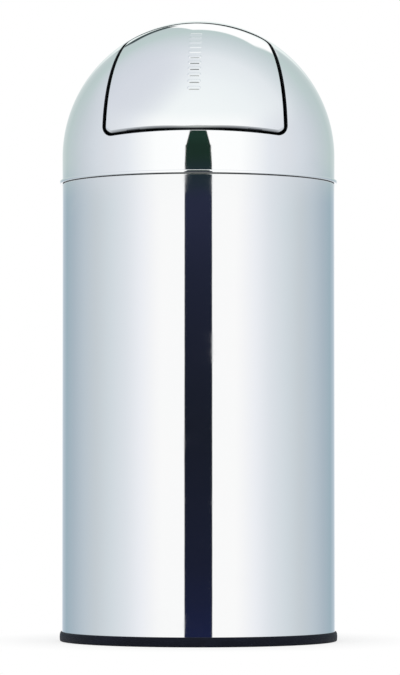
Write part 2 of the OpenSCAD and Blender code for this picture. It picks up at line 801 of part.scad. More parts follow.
// Ear: a strip that hugs the bucket's wall, steps out past the rim and stands above it
module bucket_ear(side) {
    low_z = bucket_rim_z - ear_drop;
    step_z = bucket_rim_z - bucket_roll_d - ear_step_gap;
    step_low_z = step_z - ear_step_h;
    top_z = bail_z + ear_top_r;
    boss_z = bucket_rim_z - bucket_roll_d;
    color("lightslategray") on_side(side) difference() {
        intersection() {
            rotate_extrude() polygon([
                [bucket_r(low_z) + weld_gap, low_z], [bucket_r(step_low_z) + weld_gap, step_low_z],
                [ear_r, step_z], [ear_r, top_z], [ear_r + ear_t, top_z], [ear_r + ear_t, step_z],
                [bucket_r(step_low_z) + weld_gap + ear_t, step_low_z],
                [bucket_r(low_z) + weld_gap + ear_t, low_z]
            ]);
            across(0, far_r) {
                translate([0, bail_z]) circle(ear_top_r);
                polygon([[-ear_top_r, bail_z], [-ear_w / 2, boss_z], [-ear_w / 2, low_z],
                         [ear_w / 2, low_z], [ear_w / 2, boss_z], [ear_top_r, bail_z]]);
            }
        }
        across(0, far_r) translate([0, bail_z]) circle(bail_r + bail_clear);
        rivet_holes();
    }
}

// Domed head of a rivet: a cap of the height and diameter of the head
module rivet_head() {
    cap_r = (pow(rivet_head_d / 2, 2) + pow(rivet_head_h, 2)) / (2 * rivet_head_h);
    intersection() {
        translate([0, 0, rivet_head_h - cap_r]) sphere(cap_r);
        cylinder(d = rivet_head_d, h = rivet_head_h);
    }
}

// Rivets through the ears and the bucket's wall
module ear_rivets() {
    wall_r = bucket_r(rivet_z);
    outer = wall_r + weld_gap + ear_t + rivet_gap;
    inner = wall_r - bucket_t - rivet_gap;
    color("silver") at_rivets() {
        translate([0, 0, inner - past]) cylinder(r = rivet_r, h = outer - inner + 2 * past);
        translate([0, 0, outer]) rivet_head();
        translate([0, 0, inner]) mirror([0, 0, 1]) rivet_head();
    }
}

// Handle: one wire bent to a half circle, its ends turned out through the ears
module bail_handle() {
    end_x = ear_r + ear_t + touch_gap;
    color("silver") translate([0, 0, bail_z]) {
        rotate_extrude(angle = 180) translate([bucket_top_r, 0]) circle(bail_r);
        for (side = [-1, 1]) on_side(side) {
            translate([bucket_top_r, 0, 0]) {
                sphere(bail_r);
                rotate([0, 90, 0]) cylinder(r = bail_r, h = end_x - bucket_top_r + bail_r);
            }
            translate([end_x, 0, 0]) rotate([0, 90, 0]) cylinder(d = bail_head_d, h = bail_head_t);
        }
    }
}

outer_body();
body_floor();
base_ring();
dome_shell();
locating_ring();
hinge_bracket(-1);  // hinge_bracket_left
hinge_bracket(1);  // hinge_bracket_right
hinge_rod();
rod_clips();
stop_pins();
spring(-1);  // spring_left
spring(1);  // spring_right
flap_panel();
flap_bracket(-1);  // flap_bracket_left
flap_bracket(1);  // flap_bracket_right
flap_bush(-1);  // flap_bush_left
flap_bush(1);  // flap_bush_right
stop_bracket(-1);  // stop_bracket_left
stop_bracket(1);  // stop_bracket_right
stop_bumper(-1);  // stop_bumper_left
stop_bumper(1);  // stop_bumper_right
bucket_wall();
bucket_base();
bucket_ear(-1);  // bucket_ear_left
bucket_ear(1);  // bucket_ear_right
ear_rivets();
bail_handle();
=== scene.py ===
import math

import bpy
import numpy as np
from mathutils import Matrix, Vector


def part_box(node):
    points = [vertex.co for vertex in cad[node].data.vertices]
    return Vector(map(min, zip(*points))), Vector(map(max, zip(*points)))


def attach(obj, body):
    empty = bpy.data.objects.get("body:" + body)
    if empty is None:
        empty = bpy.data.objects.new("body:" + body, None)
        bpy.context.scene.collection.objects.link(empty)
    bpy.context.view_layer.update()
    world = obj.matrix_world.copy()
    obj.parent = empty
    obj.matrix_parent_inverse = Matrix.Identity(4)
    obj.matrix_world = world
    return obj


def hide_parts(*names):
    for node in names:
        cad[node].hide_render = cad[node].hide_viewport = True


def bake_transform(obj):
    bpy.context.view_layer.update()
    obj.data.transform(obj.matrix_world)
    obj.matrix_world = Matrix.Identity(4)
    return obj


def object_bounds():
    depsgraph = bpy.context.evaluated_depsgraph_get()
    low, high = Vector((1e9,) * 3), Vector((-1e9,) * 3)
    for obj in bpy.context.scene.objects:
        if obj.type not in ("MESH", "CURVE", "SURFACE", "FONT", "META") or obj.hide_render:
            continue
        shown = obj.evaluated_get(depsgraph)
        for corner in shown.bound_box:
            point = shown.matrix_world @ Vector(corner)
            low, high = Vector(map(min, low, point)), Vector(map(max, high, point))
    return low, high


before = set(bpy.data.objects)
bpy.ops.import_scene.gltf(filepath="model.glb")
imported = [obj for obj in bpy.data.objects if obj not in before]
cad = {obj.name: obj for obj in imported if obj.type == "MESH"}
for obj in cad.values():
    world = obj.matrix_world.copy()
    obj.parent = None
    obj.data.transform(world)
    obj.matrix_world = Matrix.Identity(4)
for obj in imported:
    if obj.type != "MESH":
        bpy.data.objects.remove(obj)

cad_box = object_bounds()
mm = 0.001


# ---- Camera -------------------------
# It stands far in front of the bin with a long lens, a little to the right of the flap's middle and
# at the height of a low table, and looks slightly up.
eye_distance = 4.184
eye_height = 0.201
eye_turn = math.radians(2)
look_up = math.radians(2.265)
look_right = math.radians(0.025)

lens = bpy.data.cameras.new("camera")
lens.lens = 184.2
lens.sensor_width = 36
lens.clip_start, lens.clip_end = 0.1, 100
camera = bpy.data.objects.new("camera", lens)
camera.location = (eye_distance * math.sin(eye_turn), -eye_distance * math.cos(eye_turn),
                   eye_height)
camera.rotation_euler = (math.pi / 2 + look_up, 0, eye_turn - look_right)
bpy.context.scene.collection.objects.link(camera)
bpy.context.scene.camera = camera
bpy.context.scene.view_settings.view_transform = "Standard"


# ---- Studio -------------------------
# A white room of soft light. The steel mirrors it: white panels on both sides of a dark gap in
# front, walls that grow greyer towards the back, a pale ceiling and a white backdrop behind.
def tone(red, green, blue):
    """A colour as the eye reads it, 0 to 255, as the light that a shader takes."""
    seen = [value / 255 for value in (red, green, blue)]
    return [v / 12.92 if v < 0.04045 else ((v + 0.055) / 1.055) ** 2.4 for v in seen]


def new_node(tree, kind, inputs, **settings):
    """A node. Each input takes a number, a colour, a vector or the output of another node."""
    node = tree.nodes.new(kind)
    for name, value in settings.items():
        setattr(node, name, value)
    for key, value in inputs.items():
        socket = node.inputs[key]
        if isinstance(value, bpy.types.NodeSocket):
            tree.links.new(value, socket)
        else:
            socket.default_value = (*value, 1) if socket.type == "RGBA" else value
    return node


def figure(tree, operation, *values):
    """One step of arithmetic in a node tree."""
    return new_node(tree, "ShaderNodeMath", dict(enumerate(values)), operation=operation).outputs[0]


def product(tree, first, *others):
    """All these figures multiplied."""
    for value in others:
        first = figure(tree, "MULTIPLY", first, value)
    return first


def step_up(tree, value, low, high, to_low=0.0, to_high=1.0):
    """Rises smoothly from to_low to to_high while value goes from low to high."""
    inputs = {"Value": value, "From Min": low, "From Max": high, "To Min": to_low,
              "To Max": to_high}
    node = new_node(tree, "ShaderNodeMapRange", inputs, interpolation_type="SMOOTHSTEP")
    return node.outputs["Result"]


def shades(tree, factor, stops):
    """Colours that follow a factor from 0 to 1."""
    node = new_node(tree, "ShaderNodeValToRGB", {"Fac": factor})
    elements = node.color_ramp.elements
    elements[0].position, elements[0].color = stops[0][0], (*stops[0][1], 1)
    elements[1].position, elements[1].color = stops[-1][0], (*stops[-1][1], 1)
    for place, colour in stops[1:-1]:
        elements.new(place).color = (*colour, 1)
    return node.outputs["Color"]


def blend_colours(tree, factor, first, second):
    """Goes from the first colour to the second as the factor goes from 0 to 1."""
    inputs = {"Factor": factor, 6: first, 7: second}
    return new_node(tree, "ShaderNodeMix", inputs, data_type="RGBA").outputs[2]


def blend_shaders(tree, factor, first, second):
    """Goes from the first shader to the second as the factor goes from 0 to 1."""
    return new_node(tree, "ShaderNodeMixShader", {0: factor, 1: first, 2: second}).outputs[0]


def room_light(tree, colour, strength):
    """Light that comes from all round."""
    inputs = {"Color": colour, "Strength": strength}
    return new_node(tree, "ShaderNodeBackground", inputs).outputs[0]


# In degrees: bearings count from the front round to the right, and elevations upwards. Soft edges
# of a few degrees are given where they are drawn.
studio_turn = 1.85                  # by which the panels' gap lies to the right
gap_half_width = 11.5               # at the level of the horizon
gap_narrowing = 0.03                # lost on each side for each degree up
gap_shoulder = 1.2                  # lost besides over the shoulder
shoulder_rise = (4.95, 5.9)         # the shoulder's foot and top
gap_tapering, taper_from = 0.22, 5  # lost besides for each degree up, from this elevation
gap_soft = 0.35                     # half the width of the gap's soft edge
gap_top = (20.8, 21.6)              # over which the gap ends
shades_low, shades_high = -4, 12    # between which the gap's shades change
upper_walls = (4.4, 5.2)            # over which the upper walls take over from the lower ones
ceiling_rise = (16, 36)             # and the ceiling from the upper walls
ground_line = (-7.2, -4.2)          # over which the ground takes over from the walls
dim_ground = (-72, -10)             # over which the ground grows brighter, going up
backdrop_from = (163, 149)          # the backdrop's right end, low down and high up
backdrop_slant = (26, 38)           # over which that end leans
backdrop_to = 194                   # its left end
backdrop_top = (48, 27)             # its top edge, on the right and on the left
backdrop_step = (184, 192)          # the bearings over which the top edge comes down
backdrop_foot = (10, 20)            # over which it fades in
cloth_rise = (22, 34)               # over which its cloth grows white
beam_from, beam_to = 187, 199       # a dark beam over the backdrop's left end
beam_low, beam_high = 25, 32        # and its elevation

to_grey_wall = (-0.66, -0.08, 0.74)     # direction of a greyer patch, high on the left
grey_wall_edge = (0.66, 1.0)            # cosines between which that patch grows to its most
most_grey = 0.75
steel_light, dull_light = 1.06, 0.62    # of what steel mirrors and of what lights the rest
wall_shades = [
    (0.0, tone(255, 255, 255)), (0.17, tone(255, 255, 255)), (0.2, tone(252, 252, 253)),
    (0.27, tone(241, 243, 248)), (0.35, tone(225, 230, 236)), (0.44, tone(212, 220, 226)),
    (0.53, tone(200, 208, 214)), (0.62, tone(189, 200, 209)), (0.72, tone(172, 186, 197)),
    (0.82, tone(158, 178, 189)), (0.9, tone(184, 197, 208)), (0.95, tone(240, 243, 246)),
    (1.0, tone(255, 255, 255)),
]
upper_shades = [
    (0.0, tone(255, 255, 255)), (0.2, tone(252, 253, 253)), (0.27, tone(242, 244, 246)),
    (0.35, tone(227, 231, 237)), (0.44, tone(219, 223, 229)), (0.53, tone(211, 217, 224)),
    (0.62, tone(201, 208, 215)), (0.72, tone(190, 201, 205)), (0.82, tone(184, 199, 199)),
    (0.9, tone(198, 209, 209)), (1.0, tone(225, 232, 232)),
]
ceiling_shades = [
    (0.0, tone(244, 248, 248)), (0.27, tone(236, 241, 243)), (0.5, tone(226, 231, 235)),
    (0.62, tone(210, 218, 222)), (0.74, tone(196, 207, 210)), (0.82, tone(187, 203, 202)),
    (0.93, tone(184, 197, 198)), (1.0, tone(192, 205, 204)),
]
ground_shades = [
    (0.0, tone(204, 208, 204)), (0.1, tone(198, 201, 200)), (0.16, tone(190, 193, 195)),
    (0.22, tone(186, 190, 194)), (0.34, tone(190, 195, 200)), (0.6, tone(200, 205, 210)),
    (1.0, tone(214, 219, 223)),
]
gap_shades = [
    (0.0, tone(28, 36, 76)), (0.15, tone(26, 30, 48)), (0.3, tone(25, 29, 40)),
    (0.45, tone(31, 35, 52)), (0.54, tone(40, 44, 66)), (0.575, tone(27, 46, 38)),
    (1.0, tone(30, 52, 44)),
]
grey_wall, beam_dark, ground_dark = tone(207, 211, 221), tone(64, 76, 78), tone(58, 60, 64)
cloth_low, cloth_high = tone(231, 240, 238), tone(255, 255, 255)

world = bpy.data.worlds.new("studio")
bpy.context.scene.world = world
world.use_nodes = True
room = world.node_tree
room.nodes.clear()
heading = room.nodes.new("ShaderNodeTexCoord").outputs["Generated"]
east, north, up = new_node(room, "ShaderNodeSeparateXYZ", {0: heading}).outputs
south = figure(room, "MULTIPLY", north, -1.0)
bearing = figure(room, "DEGREES", figure(room, "ARCTAN2", east, south))
off_front = figure(room, "ABSOLUTE", figure(room, "SUBTRACT", bearing, studio_turn))
rise = figure(room, "DEGREES", figure(room, "ARCSINE", up))

# Walls and ceiling
round_share = figure(room, "DIVIDE", off_front, 180.0)
lower, upper = shades(room, round_share, wall_shades), shades(room, round_share, upper_shades)
walls = blend_colours(room, step_up(room, rise, *upper_walls), lower, upper)
towards = new_node(room, "ShaderNodeVectorMath", {0: heading, 1: to_grey_wall},
                   operation="DOT_PRODUCT").outputs["Value"]
greyer = step_up(room, towards, *grey_wall_edge, 0, most_grey)
backness = figure(room, "MULTIPLY_ADD", north, 0.5, 0.5)
ceiling = blend_colours(room, greyer, shades(room, backness, ceiling_shades), grey_wall)
painted = blend_colours(room, step_up(room, rise, *ceiling_rise), walls, ceiling)

# The backdrop behind, with the beam over its left end
round_back = figure(room, "FLOORED_MODULO", bearing, 360.0)
right_end = step_up(room, rise, *backdrop_slant, *backdrop_from)
past_start = figure(room, "SUBTRACT", round_back, right_end)
past_top = figure(room, "SUBTRACT", rise, step_up(room, round_back, *backdrop_step, *backdrop_top))
behind = product(room, step_up(room, past_start, 0, 6), step_up(room, past_top, -2, 1, 1, 0),
                 step_up(room, round_back, backdrop_to, backdrop_to + 5, 1, 0),
                 step_up(room, rise, *backdrop_foot))
cloth = blend_colours(room, step_up(room, rise, *cloth_rise), cloth_low, cloth_high)
painted = blend_colours(room, behind, painted, cloth)
beam = product(room, step_up(room, round_back, beam_from - 1, beam_from + 1),
               step_up(room, round_back, beam_to - 1, beam_to + 2, 1, 0),
               step_up(room, rise, beam_low - 1, beam_low + 1),
               step_up(room, rise, beam_high - 1, beam_high + 1, 1, 0))
painted = blend_colours(room, beam, painted, beam_dark)

# The gap between the panels, which shows as the dark stripe down the bin's front
narrowed = figure(room, "MULTIPLY", figure(room, "MAXIMUM", rise, 0.0), gap_narrowing)
over_taper = figure(room, "MAXIMUM", figure(room, "SUBTRACT", rise, taper_from), 0.0)
lost = figure(room, "ADD", narrowed, figure(room, "MULTIPLY", over_taper, gap_tapering))
lost = figure(room, "ADD", lost, step_up(room, rise, *shoulder_rise, 0, gap_shoulder))
past_edge = figure(room, "SUBTRACT", off_front, figure(room, "SUBTRACT", gap_half_width, lost))
in_gap = product(room, step_up(room, past_edge, -gap_soft, gap_soft, 1, 0),
                 step_up(room, rise, *gap_top, 1, 0))
shades_span = shades_high - shades_low
gap_level = figure(room, "MULTIPLY_ADD", rise, 1 / shades_span, -shades_low / shades_span)
painted = blend_colours(room, in_gap, painted, shades(room, gap_level, gap_shades))

ground = blend_colours(room, step_up(room, rise, *dim_ground, 1, 0),
                       shades(room, round_share, ground_shades), ground_dark)
painted = blend_colours(room, step_up(room, rise, *ground_line), ground, painted)

# Steel mirrors the painted room, a soft white lights everything else and the camera sees white
ray = room.nodes.new("ShaderNodeLightPath").outputs
lit = blend_shaders(room, ray["Is Glossy Ray"], room_light(room, (1, 1, 1), dull_light),
                    room_light(room, painted, steel_light))
seen_straight = figure(room, "MAXIMUM", ray["Is Camera Ray"], ray["Is Transmission Ray"])
light = blend_shaders(room, seen_straight, lit, room_light(room, (1, 1, 1), 1))
new_node(room, "ShaderNodeOutputWorld", {"Surface": light})

# Soft lamps behind the panels: one on each side in front and one over the top. Each has its place,
# its size and its power, and is aimed at this height on the bin's axis.
lamp_aim = 0.35
lamps = {"left_lamp": ((-1.8, -2.2, 1.9), 1.4, 22), "right_lamp": ((2.0, -2.0, 1.5), 1.4, 16),
         "top_lamp": ((0, 0.3, 2.8), 1.6, 18)}
for name, (place, size, power) in lamps.items():
    light = bpy.data.lights.new(name, "AREA")
    light.size = size
    light.energy = power
    lamp = bpy.data.objects.new(name, light)
    lamp.location = place
    to_bin = (-lamp.location.x, -lamp.location.y, lamp_aim - lamp.location.z)
    lamp.rotation_mode = "QUATERNION"
    lamp.rotation_quaternion = Vector(to_bin).to_track_quat("-Z", "Y")
    lamp.visible_glossy = False
    bpy.context.scene.collection.objects.link(lamp)


# ---- Floor --------------------------
# A small round white table top. It takes the bin's shadow, and fades into the white round it.
floor_r = 0.43
floor_sides = 96
white_from, white_to = 0.17, 0.3        # distances from the axis between which it fades into white
least_white = 0.7                       # share of plain white in it, close to the bin
mirror_near, mirror_far = 0.05, 0.2     # distances between which the steel stops mirroring it


def new_material(name):
    """A material, its empty node tree, its piece's own coordinates and its output."""
    material = bpy.data.materials.new(name)
    material.use_nodes = True
    tree = material.node_tree
    tree.nodes.clear()
    output = tree.nodes.new("ShaderNodeOutputMaterial").inputs["Surface"]
    return material, tree, tree.nodes.new("ShaderNodeTexCoord").outputs["Object"], output


def mesh_piece(name, points, faces):
    """An object whose mesh has these points and faces, shaded smooth."""
    mesh = bpy.data.meshes.new(name)
    mesh.from_pydata([tuple(p) for p in points], [], [tuple(f) for f in faces])
    mesh.update()
    mesh.shade_smooth()
    piece = bpy.data.objects.new(name, mesh)
    bpy.context.scene.collection.objects.link(piece)
    return piece


def full_turn(count):
    """Angles that share out a full turn evenly."""
    return np.arange(count) * 2 * math.pi / count


rim = [(floor_r * math.cos(a), floor_r * math.sin(a), 0) for a in full_turn(floor_sides)]
floor = mesh_piece("floor", rim, [range(floor_sides)])
floor_paint, tree, place, output = new_material("white_table")
away = new_node(tree, "ShaderNodeVectorMath", {0: place}, operation="LENGTH").outputs["Value"]
matt = new_node(tree, "ShaderNodeBsdfDiffuse", {"Color": (0.9, 0.9, 0.9)}).outputs[0]
glow = new_node(tree, "ShaderNodeEmission", {"Color": (1, 1, 1), "Strength": 1}).outputs[0]
ray = tree.nodes.new("ShaderNodeLightPath").outputs
whiter = step_up(tree, away, white_from, white_to, least_white, 1.0)
table_top = blend_shaders(tree, figure(tree, "MULTIPLY", ray["Is Camera Ray"], whiter), matt, glow)

# Only steel close to the table mirrors it; what lies higher mirrors the dim ground instead
beyond = step_up(tree, ray["Ray Length"], mirror_near, mirror_far)
let_past = tree.nodes.new("ShaderNodeBsdfTransparent").outputs[0]
far_off = figure(tree, "MULTIPLY", ray["Is Glossy Ray"], beyond)
tree.links.new(blend_shaders(tree, far_off, table_top, let_past), output)
floor.data.materials.append(floor_paint)


# ---- Body tube ----------------------
# A plain tube of stainless sheet, polished outside to a mirror, with its top edge rolled inwards.
# The tube is welded along the back; the weld is ground flat and polished over.
body_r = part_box("outer_body")[1].x
sheet_t = 1 * mm
rim_roll_r = 2.2 * mm
rim_corner_r = 1.1 * mm     # of the roll's outer corner, pressed tight against the wall
turns_round = 256
sharp_turn = math.radians(40)       # spun faces that meet at more than this show an edge


def noise(tree, source, scale, detail=3.0, roughness=0.5):
    """Value of a cloudy noise pattern."""
    inputs = {"Vector": source, "Scale": scale, "Detail": detail, "Roughness": roughness}
    return new_node(tree, "ShaderNodeTexNoise", inputs).outputs["Fac"]


def stretched(tree, source, scale, offset=(0, 0, 0)):
    """The same coordinates, drawn out or moved."""
    inputs = {"Vector": source, "Location": offset, "Scale": scale}
    return new_node(tree, "ShaderNodeMapping", inputs).outputs["Vector"]


def relief(tree, height, distance, after=None):
    """Raises the surface by a height pattern, over an earlier relief."""
    earlier = {} if after is None else {"Normal": after}
    inputs = {"Height": height, "Strength": 1, "Distance": distance, **earlier}
    return new_node(tree, "ShaderNodeBump", inputs).outputs["Normal"]


def finish_with(tree, output, settings):
    """The shader of a finish; each setting is a number, a colour or the output of another node."""
    tree.links.new(new_node(tree, "ShaderNodeBsdfPrincipled", settings).outputs["BSDF"], output)


def polished_steel(name, light):
    """Mirror-polished stainless: faint waves, fine polishing lines and wiped-over smudges."""
    material, tree, place, output = new_material(name)
    waves = noise(tree, place, 9, 2)
    lines = noise(tree, stretched(tree, place, (2, 2, 700)), 1, 4, 0.65)
    smudges = noise(tree, stretched(tree, place, (1, 1, 1.6), (3, 1, 2)), 14, 5, 0.6)
    wiped = step_up(tree, smudges, 0.52, 0.72, 0, 0.05)
    rough = figure(tree, "ADD", figure(tree, "MULTIPLY_ADD", lines, 0.03, 0.02), wiped)
    tinged = (0.98 * light, 0.99 * light, 0.995 * light)
    waved = relief(tree, waves, 0.1 * mm)
    finish_with(tree, output, {
        "Base Color": blend_colours(tree, waves, tinged, (light, light, light)), "Metallic": 1.0,
        "Roughness": rough, "Normal": relief(tree, lines, 0.0006 * mm, waved)})
    return material


def dull_steel(name, light, dark, rough):
    """Steel as it comes from the mill: grey, with rolling lines and cloudy patches."""
    material, tree, place, output = new_material(name)
    patches = noise(tree, place, 38, 5, 0.6)
    grain = noise(tree, stretched(tree, place, (60, 60, 1500)), 1, 3, 0.7)
    patchy = figure(tree, "MULTIPLY", patches, 0.1)
    finish_with(tree, output, {
        "Base Color": blend_colours(tree, patches, light, dark), "Metallic": 1.0,
        "Roughness": figure(tree, "ADD", figure(tree, "MULTIPLY_ADD", grain, 0.16, rough), patchy),
        "Normal": relief(tree, grain, 0.01 * mm)})
    return material


def spun(name, outline, materials, dull_from=None):
    """A piece spun about the bin's axis from a closed outline of radius and height.
    Faces from the row numbered dull_from on take the second material."""
    rows = len(outline)
    points = [(r * math.cos(a), r * math.sin(a), z)
              for a in full_turn(turns_round) for r, z in outline]
    faces = []
    for k in range(turns_round):
        a, b = k * rows, (k + 1) % turns_round * rows
        faces += [(a + i, b + i, b + (i + 1) % rows, a + (i + 1) % rows) for i in range(rows)]
    piece = mesh_piece(name, points, faces)
    if dull_from is not None:
        second = [0 if i < dull_from else 1 for _ in range(turns_round) for i in range(rows)]
        piece.data.polygons.foreach_set("material_index", second)
    for material in materials:
        piece.data.materials.append(material)
    piece.data.set_sharp_from_angle(angle=sharp_turn)
    return piece


def bow(centre, radius, start, end, steps):
    """Points along an arc, from one angle in degrees to another."""
    angles = np.radians(np.linspace(start, end, steps + 1))
    return [(centre[0] + radius * math.cos(a), centre[1] + radius * math.sin(a)) for a in angles]


def line(start, end, steps, near=0.4 * mm):
    """Points along a straight stretch, one close to each end so that the shading stays flat."""
    close = near / math.dist(start, end)
    shares = [0, close, *(i / steps for i in range(1, steps)), 1 - close, 1]
    return [tuple(a + (b - a) * t for a, b in zip(start, end)) for t in shares]


# The body's polished steel is set darker than the dome's and the flap's (0.9 against 0.95): painted
# shade that dims the body's reflections next to the dome's.
shaded_body_mirror = polished_steel("shade_dimmed_body_steel", 0.9)
mill_steel = dull_steel("mill_steel", tone(176, 178, 180), tone(132, 135, 138), 0.34)
body_foot_z, seam_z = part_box("outer_body")[0].z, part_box("outer_body")[1].z
roll_middle = (body_r - rim_roll_r, seam_z - rim_roll_r)
corner_middle = (body_r - rim_corner_r, seam_z - rim_corner_r)
outside = line((body_r, body_foot_z), (body_r, corner_middle[1]), 12)
outside += bow(corner_middle, rim_corner_r, 0, 90, 10)[1:]
outside += bow(roll_middle, rim_roll_r, 90, 300, 24)
inside = bow(roll_middle, rim_roll_r - sheet_t, 300, 90, 14)
inside += bow(corner_middle, rim_corner_r - sheet_t, 90, 0, 4)
inside += line((body_r - sheet_t, corner_middle[1]), (body_r - sheet_t, body_foot_z), 4)[1:]
tube = spun("body_tube", outside + inside, [shaded_body_mirror, mill_steel], len(outside))
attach(tube, "root")
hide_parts("outer_body")


# ---- Foot ring ----------------------
# A moulded black rubber ring pushed onto the tube's bottom edge. It bulges out past the steel and
# carries the bin on the floor.
ring_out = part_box("base_ring")[1].x - body_r
ring_height = 11.5 * mm
ring_sole = 3 * mm
ring_leg = 4 * mm
ring_fit = 0.05 * mm
# Outline of the bulge: shares of how far the ring stands out and of its height
bulge = [(0.5, 0.0), (0.8, 0.05), (0.95, 0.2), (1.0, 0.45), (0.94, 0.7), (0.76, 0.87), (0.48, 0.97),
         (0.2, 1.0)]
bulge_steps = 28


def rubber(name, colour, rough, gloss):
    """Moulded rubber: fine-grained and matt, with a faint bloom and patches of dust."""
    material, tree, place, output = new_material(name)
    bloom = noise(tree, stretched(tree, place, (1, 1, 3)), 22, 5, 0.6)
    grain = noise(tree, place, 2600, 2)
    dusty = [c * 1.7 + 0.002 for c in colour]
    finish_with(tree, output, {
        "Base Color": blend_colours(tree, step_up(tree, bloom, 0.42, 0.8), colour, dusty),
        "Roughness": figure(tree, "MULTIPLY_ADD", bloom, 0.2, rough), "Specular IOR Level": gloss,
        "Normal": relief(tree, grain, 0.012 * mm)})
    return material


def smooth_line(knots, steps):
    """Points on a smooth curve through the knots."""
    knots = np.array(knots)
    along = np.linspace(0, len(knots) - 1, steps + 1)
    index = np.clip(along.astype(int), 0, len(knots) - 2)
    t = (along - index)[:, None]
    before, this = knots[np.maximum(index - 1, 0)], knots[index]
    after, last = knots[index + 1], knots[np.minimum(index + 2, len(knots) - 1)]
    bend = 2 * before - 5 * this + 4 * after - last
    swing = 3 * this - before - 3 * after + last
    return 0.5 * (2 * this + (after - before) * t + bend * t**2 + swing * t**3)


ring_line = [(body_r + ring_out * u, max(ring_height * v, 0))
             for u, v in smooth_line(bulge, bulge_steps)]
leg_r = body_r - sheet_t - ring_fit
leg_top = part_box("base_ring")[1].z
grip = [(body_r + ring_fit, ring_height), (body_r + ring_fit, ring_sole), (leg_r, ring_sole),
        (leg_r, leg_top), (leg_r - ring_leg, leg_top), (leg_r - ring_leg, 0)]
# The rubber's near-black colour is tinted navy: partly its own black and partly a painted
# reflection of the dark navy gap in front.
foot_rubber = rubber("foot_rubber", (0.003, 0.004, 0.01), 0.45, 0.14)
foot_ring = spun("foot_ring", ring_line + grip, [foot_rubber])
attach(foot_ring, "root")
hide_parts("base_ring")


# ---- Floor pan ----------------------
# Pressed steel pan with two stiffening rings, slipped into the foot of the tube and welded.
cad["body_floor"].data.materials[0] = mill_steel


# ---- Dome ---------------------------
# A spun stainless cap: part of a ball over a straight skirt, with a bead rolled along its bottom
# edge. The mouth is cut in its front and the edge turned in; along the sill it also turns down.
dome_r = body_r
ball_z = cad_box[1].z - dome_r
skirt_foot_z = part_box("dome_shell")[0].z + 1.8 * mm
bead_r = 1.8 * mm
bead_corner_r = 0.7 * mm    # of the bead's corners; its front is pressed flat
mouth_rake = math.radians(6.3)
mouth_top_y = 43 * mm
mouth_mid_w = 141 * mm
mouth_flare = math.radians(17)
mouth_upright_h = 126 * mm
mouth_corner_r = 13 * mm
mouth_top_r = 12 * mm
mouth_edge = 5 * mm
mouth_lip = 4.2 * mm
mouth_bend = 1 * mm
eased = (-0.8 * mm, 0, 0)   # the mouth's gaps beside, below and above: its sides are eased open
sag_share, sag_w = 0.85, 32 * mm        # of the gap below, lost where the flap's edge sags
askew_share, askew_w = 0.9, 60 * mm     # of the gap above, gained to the right
corner_cut = 0.6            # share of its width that the turned-in edge loses round the corners
mouth_middle = math.radians(39.35)
upright_x = mouth_mid_w / 2 + mouth_upright_h * math.sin(mouth_rake) * math.tan(mouth_flare)
fan_y = upright_x / math.tan(mouth_flare)
dome_columns = 480
dome_rows = 72
inner_rows = 24
bend_steps, inner_bend_steps = 10, 6
flat_shares = (0.15, 0.5, 0.93, 1.0)    # places of the rows on an edge's flat part
near_edge = 6 * mm          # the ball's rows keep beside the mouth's edge up to here
polished_edge_rows = 3      # rows of the mouth's edge that the polishing wheel reaches; the rest are painted dark as shade
sharp_fold = math.radians(50)           # faces that meet at more than this show an edge

# Directions seen from the middle of the ball: to the mouth's middle, to its right and to its top
to_mouth = np.array([0, -math.cos(mouth_middle), math.sin(mouth_middle)])
to_right = np.array([1.0, 0, 0])
to_top = np.array([0, math.sin(mouth_middle), math.cos(mouth_middle)])


def above_sill(point):
    """Height of points above the sloping plane of the mouth's bottom edge."""
    return point[..., 1] * math.sin(mouth_rake) + point[..., 2] * math.cos(mouth_rake)


def past_mouth(point, gaps, inset):
    """Distance by which points lie outside the mouth, drawn smaller by the gaps and the inset. Its
    lower part is raked; its upper sides stand upright and its top edge is an arc square to them.
    The gap below is narrower in the middle, where the flap's edge sags, and the gap above is wider
    on the right, as the flap hangs a little askew."""
    x, y = np.abs(point[..., 0]), point[..., 1]
    low_gap = gaps[1] * (1 - sag_share * np.exp(-(x / sag_w) ** 2))
    top_gap = gaps[2] * (1 + askew_share * np.clip(point[..., 0] / askew_w, 0, 1))
    cos_f, sin_f = math.cos(mouth_flare), math.sin(mouth_flare)
    raked_y = y * math.cos(mouth_rake) - point[..., 2] * math.sin(mouth_rake)
    low_r = mouth_corner_r - gaps[0] - inset
    u = (x - mouth_mid_w / 2) * cos_f + raked_y * sin_f + gaps[0] + inset + low_r
    v = low_gap + inset - above_sill(point) + low_r
    low = np.hypot(np.maximum(u, 0), np.maximum(v, 0)) + np.minimum(np.maximum(u, v), 0) - low_r
    beside = (x - upright_x) * cos_f + y * sin_f + gaps[0] + inset
    edge_r = fan_y + mouth_top_y + top_gap + inset
    top_r = mouth_top_r - gaps[0] - inset
    corner = mouth_flare - np.arcsin(mouth_top_r / (edge_r + top_r))
    dx, dy = x - (edge_r + top_r) * np.sin(corner), y - fan_y + (edge_r + top_r) * np.cos(corner)
    in_corner = (cos_f * dy - sin_f * dx >= 0) & (np.cos(corner) * dx + np.sin(corner) * dy >= 0)
    straight = np.maximum(beside, edge_r - np.hypot(x, y - fan_y))
    return np.maximum(low, np.where(in_corner, np.hypot(dx, dy) - top_r, straight))


def on_ball(turn, lean):
    """Direction from the ball's middle: turn goes round the mouth's middle, lean away from it."""
    out = np.sin(turn)[..., None] * to_right + np.cos(turn)[..., None] * to_top
    return np.cos(lean)[..., None] * to_mouth + np.sin(lean)[..., None] * out


def mouth_line(turn, radius, gaps, inset=0.0, widest_lean=math.radians(100), halvings=40):
    """Directions in which a ball of this radius meets the edge of the mouth, by halving."""
    low, high = np.zeros_like(turn), np.full_like(turn, widest_lean)
    for _ in range(halvings):
        lean = (low + high) / 2
        out = past_mouth(on_ball(turn, lean) * np.asarray(radius)[..., None], gaps, inset) > 0
        low, high = np.where(out, low, lean), np.where(out, lean, high)
    return on_ball(turn, lean)


